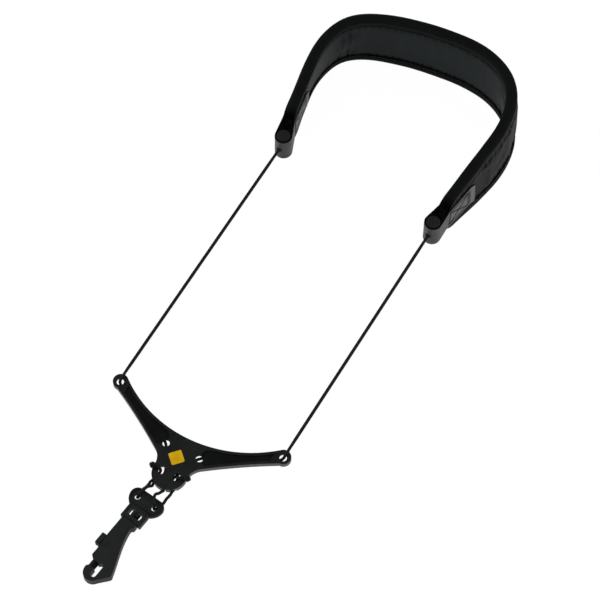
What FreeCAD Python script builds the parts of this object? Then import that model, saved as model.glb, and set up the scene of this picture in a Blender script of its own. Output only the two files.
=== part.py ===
import FreeCAD, Part
import math
import os

# Saxophone neck strap, laid out on a table: the pad stands on its lower edge, the yoke and the hook lie flat.
# Frame: +Y from the hook towards the pad, +Z up from the table, origin on the yoke's symmetry plane at the
# line through its two tip holes, on the table.  All sizes in millimetres.

# ---------------------------------------------------------------- driving dimensions
CORD_R = 1.0            # braided cord, radius
CORD_ANGLE = 5.0        # side cords lean this many degrees from +Y towards +X
LEFT_RUN = 241.1        # side cord, tip hole to pad, left
RIGHT_RUN = 222.7       # side cord, tip hole to pad, right

YOKE_T = 5.0            # yoke depth, front to back
YOKE_SKIN = 2.3         # front wall of the yoke shell
YOKE_RIM = 1.8          # width of the wall round the open back
TIP_X = 74.5            # tip hole, distance from the symmetry plane
TIP_HOLE = (73.9, 0.4, 3.1)
MID_X = 15.0            # guide hole beside the middle
MID_Y = -30.5
MID_HOLE_R = 3.0
TONGUE_HOLE_X = 6.5
TONGUE_HOLE_Y = -52.7
TOP_ARC_R = 109.5       # upper edge of the yoke
TOP_ARC_Y = 90.2

PLATE_Z = (2.35, 5.85)  # swivel plate, back and front faces of its thin part

PAD_H = 57.0            # pad height
PAD_T = 10.0            # pad thickness over the edge binding
SKIN_T = 1.15           # cover and lining
BIND_T = 0.75           # edge binding tape
BIND_W = 8.5            # binding overlap on each face
END_Z = PAD_H / 2.0     # cord height at the pad ends

WEB_T = 1.5             # webbing thickness
WEB_W = 24.6            # webbing width
DOWEL_R = 5.8
DOWEL_L = 25.2
EXIT_R = 8.0            # cord exit, distance from the dowel axis

HOOK_TILT = -9.5        # hook assembly turned about Z
HOOK_ORG = (-4.3, -82.0)
HOOK_Z = 4.0            # height of the hook's long axis
HOOK_T = 8.0
EYE_X = 5.2
EYE_Y = -68.45
EYE_W = 4.8
EYE_H = 12.9
BOLT_X = -0.6
BOLT_R = 3.15
BOLT_GAP = 0.05
STUD_R = 2.5
MOUTH_TOP = -60.6
MOUTH_END = -68.6
STROKE = 8.6            # bolt travel

V = FreeCAD.Vector
UP = V(0, 0, 1)


# ---------------------------------------------------------------- helpers
def save(node, shape):
    """Write one closed solid per sub-part."""
    solid = shape.removeSplitter() if shape.ShapeType != "Solid" else shape
    if solid.ShapeType != "Solid" and len(solid.Solids) == 1:
        solid = solid.Solids[0]
    solid.exportStep("parts/" + node + ".step")


def polyline(points):
    return [Part.LineSegment(V(*a), V(*b)).toShape() for a, b in zip(points[:-1], points[1:])]


def prism(edges, z0, z1):
    face = Part.Face(Part.Wire(Part.__sortEdges__(edges)))
    face.translate(V(0, 0, z0))
    return face.extrude(V(0, 0, z1 - z0))


def flat_poly(points, z0, z1):
    pts = [(x, y, 0.0) for x, y in points]
    return prism(polyline(pts + pts[:1]), z0, z1)


def arc3(a, b, c):
    return Part.Arc(V(a[0], a[1], 0), V(b[0], b[1], 0), V(c[0], c[1], 0)).toShape()


def seg(a, b):
    return Part.LineSegment(V(a[0], a[1], 0), V(b[0], b[1], 0)).toShape()


def box(x0, x1, y0, y1, z0, z1):
    return Part.makeBox(x1 - x0, y1 - y0, z1 - z0, V(x0, y0, z0))


def hole(x, y, r, z0=-1.0, z1=12.0):
    return Part.makeCylinder(r, z1 - z0, V(x, y, z0), UP)


def rod(a, b, r=CORD_R):
    a = V(*a)
    d = V(*b) - a
    return Part.makeCylinder(r, d.Length, a, d)


def cord(points, r=CORD_R):
    """A round cord swept along a smooth curve through the points."""
    curve = Part.BSplineCurve()
    curve.interpolate([V(*p) for p in points])
    spine = Part.Wire([curve.toShape()])
    start = curve.value(curve.FirstParameter)
    tangent = curve.tangent(curve.FirstParameter)[0]
    ring = Part.Wire([Part.Circle(start, tangent, r).toShape()])
    sweep = spine.makePipeShell([ring], True, True)
    return sweep if sweep.ShapeType == "Solid" else Part.Solid(Part.Shell(sweep.Faces))


def bent_cord(points, bend, r=CORD_R):
    """A round cord of straight runs joined by arcs of one bend radius."""
    pts = [V(*p) for p in points]
    edges = []
    here = pts[0]
    for a, b, c in zip(pts[:-2], pts[1:-1], pts[2:]):
        into = (b - a).normalize()
        out = (c - b).normalize()
        half = into.getAngle(out) / 2.0
        if half < 0.01:
            continue
        cut = bend * math.tan(half)
        first = b - into * cut
        last = b + out * cut
        top = b + (out - into).normalize() * (bend / math.cos(half) - bend)
        edges.append(Part.LineSegment(here, first).toShape())
        edges.append(Part.Arc(first, top, last).toShape())
        here = last
    edges.append(Part.LineSegment(here, pts[-1]).toShape())
    ring = Part.Wire([Part.Circle(pts[0], pts[1] - pts[0], r).toShape()])
    return Part.Wire(edges).makePipeShell([ring], True, True)


def in_hook(shape):
    """Move a shape built in the hook's own frame into the strap's frame."""
    out = shape.copy()
    out.rotate(V(0, 0, 0), UP, HOOK_TILT)
    out.translate(V(HOOK_ORG[0], HOOK_ORG[1], 0))
    return out


def hook_point(x, y, z):
    a = math.radians(HOOK_TILT)
    return (HOOK_ORG[0] + x * math.cos(a) - y * math.sin(a),
            HOOK_ORG[1] + x * math.sin(a) + y * math.cos(a), z)


def rounded(shape, radius, keep):
    """Round the edges that keep(edge) picks, one by one if they can't be done together."""
    edges = [e for e in shape.Edges if keep(e)]
    try:
        out = shape.makeFillet(radius, edges)
        if out.isValid() and len(out.Solids) == 1:
            return out
    except Exception:
        pass
    return shape


def at_height(z):
    return lambda e: abs(e.BoundBox.ZMin - z) < 1e-3 and abs(e.BoundBox.ZMax - z) < 1e-3


# ---------------------------------------------------------------- cord directions and pad ends
LEAN = math.radians(CORD_ANGLE)
DIR = (math.sin(LEAN), math.cos(LEAN))
EXITS = {"left": (-TIP_X + LEFT_RUN * DIR[0], LEFT_RUN * DIR[1]),
         "right": (TIP_X + RIGHT_RUN * DIR[0], RIGHT_RUN * DIR[1])}
DOWELS = {side: (p[0] + EXIT_R * DIR[0], p[1] + EXIT_R * DIR[1]) for side, p in EXITS.items()}
LINE = (DOWELS["right"][0] - DOWELS["left"][0], DOWELS["right"][1] - DOWELS["left"][1])
PAD_TURN = math.degrees(math.atan2(LINE[1], LINE[0]))
PAD_ORG = ((DOWELS["left"][0] + DOWELS["right"][0]) / 2.0, (DOWELS["left"][1] + DOWELS["right"][1]) / 2.0)

# ---------------------------------------------------------------- the pad's curve
# Middle of the pad's thickness at its upper edge, from the left end round the neck to the right end.
UPPER = [(-56.0, 263.0), (-59.2, 298.0), (-61.7, 335.0), (-51.4, 367.1), (-18.6, 385.8),
         (30.0, 393.9), (70.0, 390.6), (98.7, 370.8), (109.6, 335.0), (105.7, 295.0), (97.0, 243.5)]
# The lower edge stands wider and a little shallower; both edges meet over each other at the ends.
SPREAD = [(0.0, 0.0), (-4.2, 0.0), (-4.8, -1.0), (-4.0, -3.0), (-2.0, -4.0),
          (0.0, -5.0), (1.5, -4.8), (3.0, -2.5), (4.8, -0.5), (4.3, -0.2), (0.0, 0.0)]
LOWER = [(a[0] + b[0], a[1] + b[1]) for a, b in zip(UPPER, SPREAD)]
STATIONS = 34
LEG_STATIONS = 3        # how far the webbing legs reach along the pad


def stations(points):
    """Evenly spaced points along the pad with their outward normals."""
    curve = Part.BSplineCurve()
    curve.interpolate([V(x, y, 0) for x, y in points])
    pts = curve.toShape().discretize(Number=STATIONS + 1)
    out = []
    for i, p in enumerate(pts):
        a = pts[max(i - 1, 0)]
        b = pts[min(i + 1, STATIONS)]
        t = (b - a).normalize()
        out.append((p, V(-t.y, t.x, 0)))
    return out


TOP_RUN = stations(UPPER)
LOW_RUN = stations(LOWER)


def outline(run, near, far, z, first, last):
    inner = [p + n * near + V(0, 0, z) for p, n in run[first:last + 1]]
    outer = [p + n * far + V(0, 0, z) for p, n in run[first:last + 1]]
    a = Part.BSplineCurve()
    a.interpolate(inner)
    b = Part.BSplineCurve()
    b.interpolate(outer)
    ends = [Part.LineSegment(inner[-1], outer[-1]).toShape(), Part.LineSegment(outer[0], inner[0]).toShape()]
    return Part.Wire([a.toShape(), ends[0], b.toShape(), ends[1]])


def layer(near, far, first=0, last=STATIONS):
    """A wall that follows the pad, between two distances from its middle surface (+ is outwards)."""
    low = outline(LOW_RUN, near, far, 0.0, first, last)
    top = outline(TOP_RUN, near, far, PAD_H, first, last)
    return Part.makeLoft([low, top], True, True)


def side_band(inset):
    """The pad's side view along the line of the dowels: full height round the neck, lower at the ends."""
    rise = [(-2.0, 8.2), (14.0, 7.4), (40.0, 4.2), (64.0, 1.2), (84.0, 0.0)]
    low = Part.BSplineCurve()
    low.interpolate([V(0, v, z + inset) for v, z in rise])
    high = Part.BSplineCurve()
    high.interpolate([V(0, v, PAD_H - z - inset) for v, z in rise])
    v0, z0 = rise[0]
    v1, z1 = rise[-1]
    far = 230.0
    edges = [low.toShape(), high.toShape()]
    edges += polyline([(0, v1, z1 + inset), (0, far, z1 + inset), (0, far, PAD_H - z1 - inset),
                       (0, v1, PAD_H - z1 - inset)])
    edges += polyline([(0, v0, z0 + inset), (0, v0, PAD_H - z0 - inset)])
    face = Part.Face(Part.Wire(Part.__sortEdges__(edges)))
    face.translate(V(-160, 0, 0))
    solid = face.extrude(V(320, 0, 0))
    solid.rotate(V(0, 0, 0), UP, PAD_TURN)
    solid.translate(V(PAD_ORG[0], PAD_ORG[1], 0))
    return solid


def make_pad():
    half = PAD_T / 2.0
    face_at = half - BIND_T - 0.05
    core_at = face_at - SKIN_T - 0.05
    body = side_band(1.0)
    save("pad_core", layer(-core_at, core_at).common(body))
    save("outer_cover", layer(face_at - SKIN_T, face_at).common(body))
    save("inner_lining", layer(-face_at, -face_at + SKIN_T).common(body))
    tape = layer(-half, half).common(side_band(0.0))
    tape = tape.cut(layer(-half + BIND_T, half - BIND_T).common(side_band(0.9)))
    tape = tape.cut(side_band(BIND_W))
    pieces = sorted(tape.Solids, key=lambda s: s.CenterOfMass.z)
    save("lower_binding", pieces[0])
    save("upper_binding", pieces[-1])


# ---------------------------------------------------------------- webbing tabs, dowels and their knots
def make_end(side):
    first = 0 if side == "left" else STATIONS - LEG_STATIONS
    last = LEG_STATIONS if side == "left" else STATIONS
    end, normal = TOP_RUN[0] if side == "left" else TOP_RUN[-1]
    inward = V(normal.y, -normal.x, 0) * (1.0 if side == "left" else -1.0)
    centre = V(DOWELS[side][0], DOWELS[side][1], 0)
    z0 = END_Z - WEB_W / 2.0
    z1 = END_Z + WEB_W / 2.0
    face_at = PAD_T / 2.0 - BIND_T + 0.05
    leg = layer(face_at, face_at + WEB_T, first, last).fuse(layer(-face_at - WEB_T, -face_at, first, last))
    leg = leg.common(box(-200, 200, 200, 340, z0, z1))
    axis = (end - centre).normalize()
    across = V(-axis.y, axis.x, 0)
    if across.dot(normal) < 0:
        across = across * -1.0

    def loop(width, radius, reach):
        a = end + inward * reach
        pts = [a + normal * width, a - normal * width, centre - across * radius, centre + across * radius]
        neck = flat_poly([(p.x, p.y) for p in pts], z0, z1)
        return neck.fuse(hole(centre.x, centre.y, radius, z0, z1))

    outer = loop(face_at + WEB_T, DOWEL_R + 0.2 + WEB_T, 0.5)
    inner = loop(face_at, DOWEL_R + 0.2, 0.8)
    tab = outer.cut(inner).fuse(leg)
    d = V(DIR[0], DIR[1], 0)
    mid = centre + V(0, 0, END_Z)
    tab = tab.cut(Part.makeCylinder(1.4, 6.0, mid - d * (EXIT_R + 2.0), d))
    save(side + "_end_tab", tab)

    dowel = hole(centre.x, centre.y, DOWEL_R, END_Z - DOWEL_L / 2.0, END_Z + DOWEL_L / 2.0)
    dowel = rounded(dowel, 0.5, lambda e: abs(e.BoundBox.ZMax - e.BoundBox.ZMin) < 1e-3)
    dowel = dowel.cut(Part.makeCylinder(1.3, 16.0, mid - d * EXIT_R, d))
    dowel = dowel.cut(Part.makeCylinder(2.7, 6.0, mid + d * 2.2, d))
    save(side + "_dowel", dowel)
    stub = Part.makeCylinder(CORD_R, 11.0, mid - d * (EXIT_R - 0.3), d)
    knot = Part.makeSphere(2.2, mid + d * 4.5)
    save(side + "_dowel_knot", stub.fuse(knot))


# ---------------------------------------------------------------- yoke
def yoke_outline():
    """Right half from the top centre round the tip and the tongue to the bottom centre, then mirrored."""
    tip_top = (69.8, TOP_ARC_Y - math.sqrt(TOP_ARC_R ** 2 - 69.8 ** 2))
    tip_end = (80.2, 1.0)
    tip_low = (73.6, -5.4)
    arm_mid = (50.0, -18.9)
    arm_end = (20.8, -38.0)
    waist = (16.1, -43.2)
    tongue = (14.3, -50.4)
    bottom = (0.0, -66.6)
    side = math.sqrt(0.5)
    top_mid = (TOP_ARC_R * math.sin(0.34), TOP_ARC_Y - TOP_ARC_R * math.cos(0.34))
    low_mid = (14.35 * side, -52.25 - 14.35 * side)
    half = [arc3((0.0, TOP_ARC_Y - TOP_ARC_R), top_mid, tip_top), arc3(tip_top, tip_end, tip_low),
            arc3(tip_low, arm_mid, arm_end), arc3(arm_end, waist, tongue), arc3(tongue, low_mid, bottom)]
    other = [e.mirror(V(0, 0, 0), V(1, 0, 0)) for e in half]
    return Part.Wire(Part.__sortEdges__(half + other))


def slot_plug(x, y, w, h, z0, z1):
    plug = box(x - w / 2.0, x + w / 2.0, y - (h - w) / 2.0, y + (h - w) / 2.0, z0, z1)
    plug = plug.fuse(hole(x, y + (h - w) / 2.0, w / 2.0, z0, z1))
    return plug.fuse(hole(x, y - (h - w) / 2.0, w / 2.0, z0, z1))


BADGE = (-1.5, -38.0)


def lozenge(grow, z0, z1):
    cx, cy = BADGE
    r = 7.6 + grow
    pts = [(cx + r, cy), (cx, cy + r), (cx - r, cy), (cx, cy - r)]
    body = flat_poly(pts, z0, z1)
    return rounded(body, 1.2, lambda e: e.BoundBox.ZMax - e.BoundBox.ZMin > 0.2)


def make_yoke():
    wire = yoke_outline()
    face = Part.Face(wire)
    body = face.extrude(V(0, 0, YOKE_T))
    body = rounded(body, 0.9, at_height(YOKE_T))
    inner = face.makeOffset2D(-YOKE_RIM)
    hollow = inner.extrude(V(0, 0, YOKE_T - YOKE_SKIN))
    body = body.cut(hollow)
    dish = face.makeOffset2D(-2.4)
    for sign in (-1, 1):
        reach = dish.copy()
        reach.translate(V(0, 0, YOKE_T - 0.9))
        groove = reach.extrude(V(0, 0, 2.0))
        limit = box(22.0, 66.0, -45, 20, 0, 10).fuse(hole(22.0, -27.0, 7.0, 0, 10))
        limit = limit.cut(hole(TIP_X, 0.0, 6.9, 0, 10))
        if sign < 0:
            limit = limit.mirror(V(0, 0, 0), V(1, 0, 0))
        body = body.cut(groove.common(limit))
    for sign in (-1, 1):
        for x, y, r in (TIP_HOLE, (MID_X, MID_Y, MID_HOLE_R)):
            body = body.cut(hole(sign * x, y, r))
            body = body.cut(Part.makeCone(r, r + 1.0, 1.0, V(sign * x, y, YOKE_T - 0.4)))
        body = body.cut(slot_plug(sign * TONGUE_HOLE_X, TONGUE_HOLE_Y, 5.5, 7.0, -1, 8))
    for x0, x1 in ((-12.6, -6.0), (0.3, 3.9), (6.9, 11.0)):
        body = body.cut(box(x0, x1, -68.0, -57.0, -1.0, YOKE_T - YOKE_SKIN))
    body = body.cut(lozenge(0.05, YOKE_T - 0.6, YOKE_T + 1.0))
    save("yoke", body)
    badge = lozenge(0.0, YOKE_T - 0.55, YOKE_T + 0.15)
    save("yoke_badge", badge)


# ---------------------------------------------------------------- cords carried by the yoke
BACK_Z = 1.4
FOLD_Y = -66.7
FOLD_Z = 1.5
LOOP_X = {"left": (-10.8, -7.9), "right": (8.6, 2.0)}
HOOK_IN = {"left": [(-7.6, 9.0, 5.8), (-7.6, 6.3, 7.1), (-8.1, 1.8, 7.1), (-8.35, -1.1, HOOK_Z),
                    (-8.8, 1.8, 1.15), (-9.6, 6.0, 1.15), (-9.9, 8.4, 1.4)],
           "right": [(2.0, 9.0, 5.8), (2.9, 6.3, 7.1), (6.6, 1.8, 7.1), (8.35, -1.1, HOOK_Z),
                     (9.2, 1.8, 1.15), (10.2, 6.0, 1.15), (10.4, 8.4, 1.4)]}
KNOT_AT = {"left": (-14.6, -53.0, 7.2), "right": (15.4, -51.0, 7.2)}
MID_CORD = {"left": (-15.9, -28.8, BACK_Z), "right": (14.1, -28.8, BACK_Z)}


def make_cords(side):
    s = -1.0 if side == "left" else 1.0
    exit_x, exit_y = EXITS[side]
    tip = [(s * TIP_X + 0.80, 9.2, 6.9), (s * TIP_X + 0.55, 6.2, 6.3), (s * TIP_X + 0.3, 3.4, 6.05),
           (s * (TIP_X - 0.3), 0.5, 3.8), (s * (TIP_X - 1.9), -1.2, 1.9), (s * (TIP_X - 3.9), -2.2, 1.45),
           (s * (TIP_X - 5.5), -3.0, BACK_Z)]
    save(side + "_tip_bight", cord(tip))
    start = V(tip[0][0], tip[0][1], tip[0][2])
    run = V(exit_x, exit_y, END_Z) - start
    step = run * (1.0 / run.Length)
    a = start + step * 0.3
    b = start + run - step * 0.3
    save(side + "_side_cord", rod((a.x, a.y, a.z), (b.x, b.y, b.z)))

    outer_x, inner_x = LOOP_X[side]
    under = [(s * (TIP_X - 5.8), -3.15, BACK_Z), MID_CORD[side], (s * 4.3, -52.7, BACK_Z),
             (inner_x, FOLD_Y + 0.3, BACK_Z)]
    save(side + "_yoke_cord", bent_cord(under, 4.0))
    back = [(outer_x, FOLD_Y + 0.3, FOLD_Z), (s * 9.3, -60.5, 1.25), (s * 8.1, -56.2, BACK_Z),
            (s * 7.6, -53.7, 3.0), (s * 7.9, -52.8, 5.4), (s * 9.6, -52.7, 6.9), (s * 12.9, -52.4, 7.1)]
    knot_at = V(*KNOT_AT[side])
    back.append((knot_at.x - s * 1.4, knot_at.y, knot_at.z))
    save(side + "_return_cord", cord(back))
    outwards = V(s, 0.12, -0.05)
    ball = Part.makeSphere(2.15, knot_at, outwards)
    save(side + "_stopper_knot", ball.fuse(Part.makeCylinder(1.15, 2.6, knot_at, outwards)))

    loop = [hook_point(*p) for p in HOOK_IN[side]]
    save(side + "_plate_bight", cord(loop))
    for name, x, end in (("inner", inner_x, loop[0]), ("outer", outer_x, loop[-1])):
        a = V(x, FOLD_Y - 0.3, FOLD_Z)
        d = V(*end) - a
        b = a + d * ((d.Length - 0.3) / d.Length)
        save(side + "_" + name + "_drop_cord", rod((a.x, a.y, a.z), (b.x, b.y, b.z)))


# ---------------------------------------------------------------- swivel plate
def plate_edges():
    half = [seg((0, 6.7), (9.6, 6.7)), arc3((9.6, 6.7), (14.6, 3.6), (15.4, -0.9)),
            arc3((15.4, -0.9), (13.6, -5.6), (9.05, -9.6)), seg((9.05, -9.6), (9.05, -20.8)),
            seg((9.05, -20.8), (0, -20.8))]
    return half + [e.mirror(V(0, 0, 0), V(1, 0, 0)) for e in half]


def make_plate():
    """A two-lobed plate for the cords that ends in a thick frame round the stud's head."""
    z0 = HOOK_Z - 3.2
    z1 = HOOK_Z + 3.2
    thick = box(-9.5, 9.5, -20.8, -7.4, z0, z1)
    thick = rounded(thick, 3.2, lambda e: e.BoundBox.YMin > -8.0 and e.BoundBox.ZMax - e.BoundBox.ZMin > 5.0)
    thick = rounded(thick, 0.9, lambda e: at_height(z0)(e) or at_height(z1)(e))
    thin = prism(plate_edges(), PLATE_Z[0], PLATE_Z[1])
    thin = rounded(thin, 0.6, at_height(PLATE_Z[1]))
    body = thin.fuse(thick)
    dish = Part.Face(Part.Wire(Part.__sortEdges__(plate_edges()))).makeOffset2D(-1.7)
    dish.translate(V(0, 0, PLATE_Z[1] - 0.5))
    dish = dish.extrude(V(0, 0, 2.0)).common(box(-20, 20, -6.3, 8, 0, 12))
    body = body.cut(dish)
    window = box(-5.8, 5.8, -16.8, -11.1, -2, 12)
    body = body.cut(rounded(window, 0.9, lambda e: e.BoundBox.ZMax - e.BoundBox.ZMin > 5.0))
    for sign in (-1, 1):
        body = body.cut(hole(sign * 8.35, -0.8, 2.45))
    body = body.cut(Part.makeCylinder(STUD_R + 0.05, 8.0, V(0, -22.0, HOOK_Z), V(0, 1, 0)))
    save("swivel_plate", in_hook(body))
    stud = Part.makeCylinder(STUD_R, 11.0, V(0, -26.0, HOOK_Z), V(0, 1, 0))
    head = Part.makeCylinder(3.8, 3.9, V(0, -15.9, HOOK_Z), V(0, 1, 0))
    head = rounded(head, 0.6, lambda e: abs(e.BoundBox.YMax - e.BoundBox.YMin) < 1e-3)
    save("swivel_stud", in_hook(stud.fuse(head)))


# ---------------------------------------------------------------- hook, bolt, thumb button, spring
def hook_edges():
    right = Part.BSplineCurve()
    right.interpolate([V(4.9, -26.0, 0), V(6.9, -36.4, 0), V(11.4, -49.4, 0), V(17.0, -64.2, 0)])
    return [seg((-6.8, -21.1), (6.7, -21.1)), seg((6.7, -21.1), (6.7, -24.4)),
            seg((6.7, -24.4), (4.9, -26.0)), right.toShape(),
            arc3((17.0, -64.2), (17.4, -66.0), (16.5, -67.8)), seg((16.5, -67.8), (10.2, -74.9)),
            arc3((10.2, -74.9), (3.3, -79.0), (-2.6, -76.0)),
            arc3((-2.6, -76.0), (-3.9, -72.5), (-3.9, -68.6)),
            seg((-3.9, -68.6), (-3.9, -62.0)), seg((-3.9, -62.0), (-5.8, MOUTH_TOP)),
            seg((-5.8, MOUTH_TOP), (-5.9, -52.0)), seg((-5.9, -52.0), (-6.9, -40.0)),
            seg((-6.9, -40.0), (-6.8, -21.1))]


def make_hook():
    z0 = HOOK_Z - HOOK_T / 2.0
    z1 = HOOK_Z + HOOK_T / 2.0
    body = prism(hook_edges(), z0, z1)
    body = rounded(body, 1.3, lambda e: at_height(z0)(e) or at_height(z1)(e))
    body = body.cut(slot_plug(EYE_X, EYE_Y, EYE_W, EYE_H, -1, 12))
    inside = EYE_X - EYE_W / 2.0 + 0.6
    mouth = [(-12.0, MOUTH_TOP), (inside, MOUTH_TOP - 3.0), (inside, MOUTH_END), (-2.6, MOUTH_END),
             (-12.0, MOUTH_END - 9.4)]
    body = body.cut(flat_poly(mouth, -1, 12))
    y = V(0, 1, 0)
    body = body.cut(Part.makeCylinder(BOLT_R + BOLT_GAP, 38.4, V(BOLT_X, -64.9, HOOK_Z), y))
    body = body.cut(Part.makeCylinder(STUD_R, 6.0, V(0, -26.0, HOOK_Z), y))
    body = body.cut(box(-12.0, BOLT_X, -49.0, -33.5, HOOK_Z - 1.4, HOOK_Z + 1.4))
    save("hook_body", in_hook(body))

    bolt = Part.makeCylinder(BOLT_R, 26.4, V(BOLT_X, MOUTH_END + 0.1, HOOK_Z), y)
    bolt = rounded(bolt, 0.5, lambda e: abs(e.BoundBox.YMax - e.BoundBox.YMin) < 1e-3)
    bolt = bolt.cut(box(-8.0, BOLT_X - 0.3, -48.6, -43.4, HOOK_Z - 1.25, HOOK_Z + 1.25))
    save("bolt", in_hook(bolt))
    grip = box(-11.3, -7.15, -51.0, -40.6, HOOK_Z - 3.2, HOOK_Z + 3.2)
    grip = rounded(grip, 1.0, lambda e: e.BoundBox.XMin < -11.0)
    stem = box(-7.6, BOLT_X - 0.35, -48.55, -43.45, HOOK_Z - 1.2, HOOK_Z + 1.2)
    save("thumb_button", in_hook(grip.fuse(stem)))

    wire_r = 0.25
    coil_r = 2.7
    turns = 7
    length = 14.4
    steps = 8 * turns
    coil = []
    for i in range(steps + 1):
        a = 2.0 * math.pi * turns * i / steps
        along = -41.6 + length * i / steps
        coil.append((BOLT_X + coil_r * math.cos(a), along, HOOK_Z + coil_r * math.sin(a)))
    save("bolt_spring", in_hook(cord(coil, wire_r)))


os.makedirs("parts", exist_ok=True)
make_pad()
for name in ("left", "right"):
    make_end(name)
    make_cords(name)
make_yoke()
make_plate()
make_hook()
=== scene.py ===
from math import cos, exp, hypot, pi, radians, remainder, sin, sqrt

import bpy
import numpy as np
from mathutils import Matrix, Vector


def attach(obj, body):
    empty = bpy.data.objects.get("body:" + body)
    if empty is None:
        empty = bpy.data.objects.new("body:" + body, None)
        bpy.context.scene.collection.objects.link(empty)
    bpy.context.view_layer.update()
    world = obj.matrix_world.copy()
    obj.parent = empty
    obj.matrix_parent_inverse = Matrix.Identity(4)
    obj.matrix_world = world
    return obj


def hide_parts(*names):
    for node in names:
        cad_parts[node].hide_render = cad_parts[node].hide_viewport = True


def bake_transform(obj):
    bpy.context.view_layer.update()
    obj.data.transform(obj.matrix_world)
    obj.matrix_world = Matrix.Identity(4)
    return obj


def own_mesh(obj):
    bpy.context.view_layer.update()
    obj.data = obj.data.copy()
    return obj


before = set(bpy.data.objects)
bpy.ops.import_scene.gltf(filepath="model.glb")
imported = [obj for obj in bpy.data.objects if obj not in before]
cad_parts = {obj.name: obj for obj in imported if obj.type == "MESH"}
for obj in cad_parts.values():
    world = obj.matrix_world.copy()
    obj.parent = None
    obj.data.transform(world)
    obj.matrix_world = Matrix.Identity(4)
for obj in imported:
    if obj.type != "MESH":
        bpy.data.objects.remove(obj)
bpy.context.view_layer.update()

# Sizes below are in millimetres, in the frame of the CAD part; meshes are scaled to metres when made.
MM = 0.001
UP = np.array([0.0, 0.0, 1.0])

CORD_R = 1.27
CORD_SLACK = 0.16       # how much fuller the long cords are where nothing grips them
PAD_HALF = 5.0          # half the pad's thickness over its edge tape
LEG_AT = 4.25           # the webbing's near face from the pad's middle surface
LEAN = radians(5.0)        # of the side cords from straight back
DIR = np.array([sin(LEAN), cos(LEAN), 0.0])
TIP_X = 74.5            # of the yoke's tip holes
RUN = {"left": 241.1, "right": 222.7}       # tip to webbing, along each side cord
SIGN = {"left": -1.0, "right": 1.0}
PAD_H = 57.0
END_Z = PAD_H / 2
DOWEL_R = 6.0
DOWEL_IN = 8.0          # dowel's middle beyond the cord's exit
FOLD_Y, FOLD_Z = -66.7, 1.5     # the line the drop cords swing about
BACK_Z = 1.4            # height of the cords under the yoke
LOOP_X = {"left": (-10.8, -7.9), "right": (8.6, 2.0)}       # outer and inner drop cord
HOOK_TILT = radians(-9.5)
HOOK_ORG = np.array([-4.3, -82.0, 0.0])
BOLT_X, HOOK_Z = -0.6, 4.0
# middle line of the pad's upper edge, and how far the lower edge stands from it
UPPER = [(-56.0, 263.0), (-59.2, 298.0), (-61.7, 335.0), (-51.4, 367.1), (-18.6, 385.8),
         (30.0, 393.9), (70.0, 390.6), (98.7, 370.8), (109.6, 335.0), (105.7, 295.0), (97.0, 243.5)]
SPREAD = [(0.0, 0.0), (-4.2, 0.0), (-4.8, -1.0), (-4.0, -3.0), (-2.0, -4.0),
          (0.0, -5.0), (1.5, -4.8), (3.0, -2.5), (4.8, -0.5), (4.3, -0.2), (0.0, 0.0)]
# a cord's way through the swivel plate, in the hook's own frame
HOOK_IN = {"left": [(-7.6, 9.0, 5.8), (-7.6, 6.3, 7.1), (-8.1, 1.8, 7.1), (-8.35, -1.1, 4.0),
                    (-8.8, 1.8, 1.15), (-9.6, 6.0, 1.15), (-9.9, 8.4, 1.4)],
           "right": [(2.0, 9.0, 5.8), (2.9, 6.3, 7.1), (6.6, 1.8, 7.1), (8.35, -1.1, 4.0),
                     (9.2, 1.8, 1.15), (10.2, 6.0, 1.15), (10.4, 8.4, 1.4)]}
KNOT_AT = {"left": (-14.6, -53.0, 7.2), "right": (15.4, -51.0, 7.2)}
KNOT_LIFT = np.array([0.0, 0.0, 0.3])       # keeps the drawn knot clear of the yoke
MID_CORD = {"left": (-15.9, -28.8), "right": (14.1, -28.8)}     # where a cord passes the yoke's middle holes


# ------------------------------------------------------------------ mesh helpers
def make_mesh(name, verts, faces, uv=None, shade=None):
    """A smooth mesh object from points in millimetres; uv is one (u, v) per vertex, shade scales colour."""
    mesh = bpy.data.meshes.new(name)
    mesh.from_pydata([tuple(float(c) * MM for c in v) for v in verts], [], faces)
    mesh.update()
    if uv is not None:
        layer = mesh.uv_layers.new(name="UVMap")
        loops = np.zeros(len(mesh.loops), np.int32)
        mesh.loops.foreach_get("vertex_index", loops)
        layer.data.foreach_set("uv", np.asarray(uv, np.float32)[loops].ravel())
    tone = mesh.attributes.new("shade", "FLOAT", "POINT")
    tone.data.foreach_set("value", np.asarray([1.0] * len(verts) if shade is None else shade, np.float32))
    mesh.polygons.foreach_set("use_smooth", [True] * len(mesh.polygons))
    return linked(name, mesh)


def linked(name, data):
    """A new object in the scene."""
    obj = bpy.data.objects.new(name, data)
    bpy.context.scene.collection.objects.link(obj)
    return obj


def grid_faces(rows, cols, wrap_rows=False, wrap_cols=False, base=0):
    """Quads between the points of a grid laid out row by row."""
    faces = []
    for i in range(rows if wrap_rows else rows - 1):
        for j in range(cols if wrap_cols else cols - 1):
            a = base + i * cols + j
            b = base + i * cols + (j + 1) % cols
            c = base + ((i + 1) % rows) * cols + (j + 1) % cols
            d = base + ((i + 1) % rows) * cols + j
            faces.append((a, b, c, d))
    return faces


def closed_faces(rows, ring, base=0, inward=False):
    """Quads round a row of rings, and a flat face on each end; inward is for rings that run the other way."""
    faces = grid_faces(rows, ring, wrap_cols=True, base=base)
    first = tuple(range(base, base + ring))
    last = tuple(range(base + (rows - 1) * ring, base + rows * ring))
    faces += [first, last[::-1]] if inward else [first[::-1], last]
    return faces


def ring_points(centre, side, up, radii):
    """Points round a centre in the plane of two directions, one for each radius."""
    turn = 2 * pi / len(radii)
    return [centre + (side * cos(turn * j) + up * sin(turn * j)) * r for j, r in enumerate(radii)]


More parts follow.
